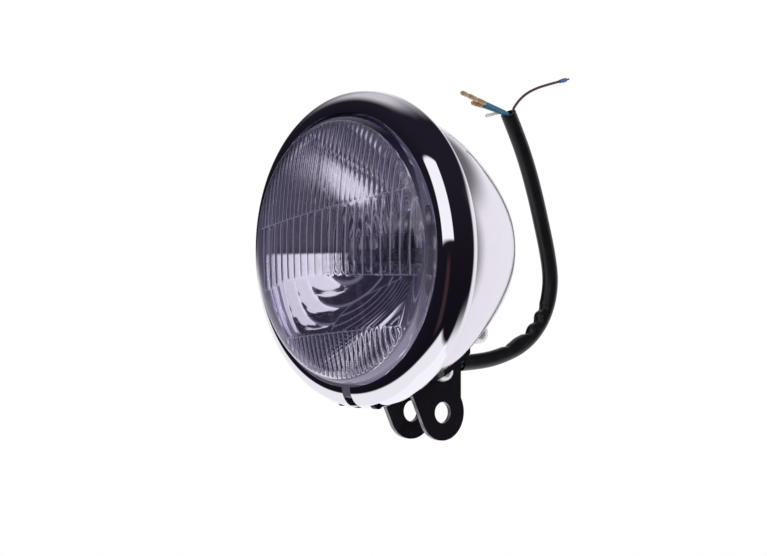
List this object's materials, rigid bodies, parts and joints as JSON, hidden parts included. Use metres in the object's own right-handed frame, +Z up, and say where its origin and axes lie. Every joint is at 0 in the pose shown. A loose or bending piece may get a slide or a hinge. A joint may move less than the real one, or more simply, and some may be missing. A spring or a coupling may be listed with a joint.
{
  "type": "motorcycle headlight",
  "caption": "Round chrome motorcycle headlight with domed fluted glass in a split clamp rim, bullet-shaped bowl, black bottom-mount bracket and a free wire sleeve at the rear.",
  "frame": {"origin": "middle of the bracket bolt's axis, halfway between the two ears", "axes": "+X along the bracket bolt, -Y the way the lamp shines, +Z up"},
  "size_m": [0.162, 0.1702, 0.1908],
  "materials": {
    "chrome": "mirror chrome plate",
    "bright_steel": "bright plated",
    "dark_steel": "black oxide",
    "lens_glass": "clear fluted glass",
    "black_rubber": "matte rubber",
    "reflector_mirror": "vapour-coated mirror",
    "bulb_metal": "bright steel",
    "bulb_glass": "clear glass",
    "filament_wire": "tungsten",
    "contact_brass": "bare brass",
    "socket_plastic": "black moulded",
    "blue_pvc": "blue wire cover",
    "clear_pvc": "whitish wire cover",
    "brown_pvc": "brown wire cover",
    "black_paint": "satin black paint",
    "sleeve_pvc": "soft black tube",
    "bullet_brass": "bare brass",
    "terminal_blue": "blue terminal cover"
  },
  "bodies": {
    "root": {"shell": "chrome", "rim": "chrome", "bracket_screws": "bright_steel", "earth_screw": "bright_steel", "bracket_nuts": "bright_steel", "earth_nut": "bright_steel", "rim_clamp_screw": "dark_steel", "rim_clamp_nut": "dark_steel", "lens": "lens_glass", "lens_gasket": "black_rubber", "shell_grommet": "black_rubber", "dust_boot": "black_rubber", "reflector": "reflector_mirror", "bulb_base": "bulb_metal", "filament_posts": "bulb_metal", "dip_shield": "bulb_metal", "bulb_clip": "bulb_metal", "bulb_glass": "bulb_glass", "dip_filament": "filament_wire", "main_filament": "filament_wire", "bulb_contacts": "contact_brass", "earth_ring": "contact_brass", "bulb_socket": "socket_plastic", "main_beam_wire": "blue_pvc", "dip_beam_wire": "blue_pvc", "blue_wire_long": "blue_pvc", "blue_wire_short": "blue_pvc", "socket_earth_wire": "clear_pvc", "clear_wire": "clear_pvc", "clear_wire_end": "clear_pvc", "shell_earth_wire": "brown_pvc", "brown_wire": "brown_pvc", "bracket": "black_paint", "harness_sleeve": "sleeve_pvc", "bullet_terminal_long": "bullet_brass", "bullet_terminal_short": "bullet_brass", "brown_wire_terminal": "terminal_blue"}
  },
  "joints": []
}
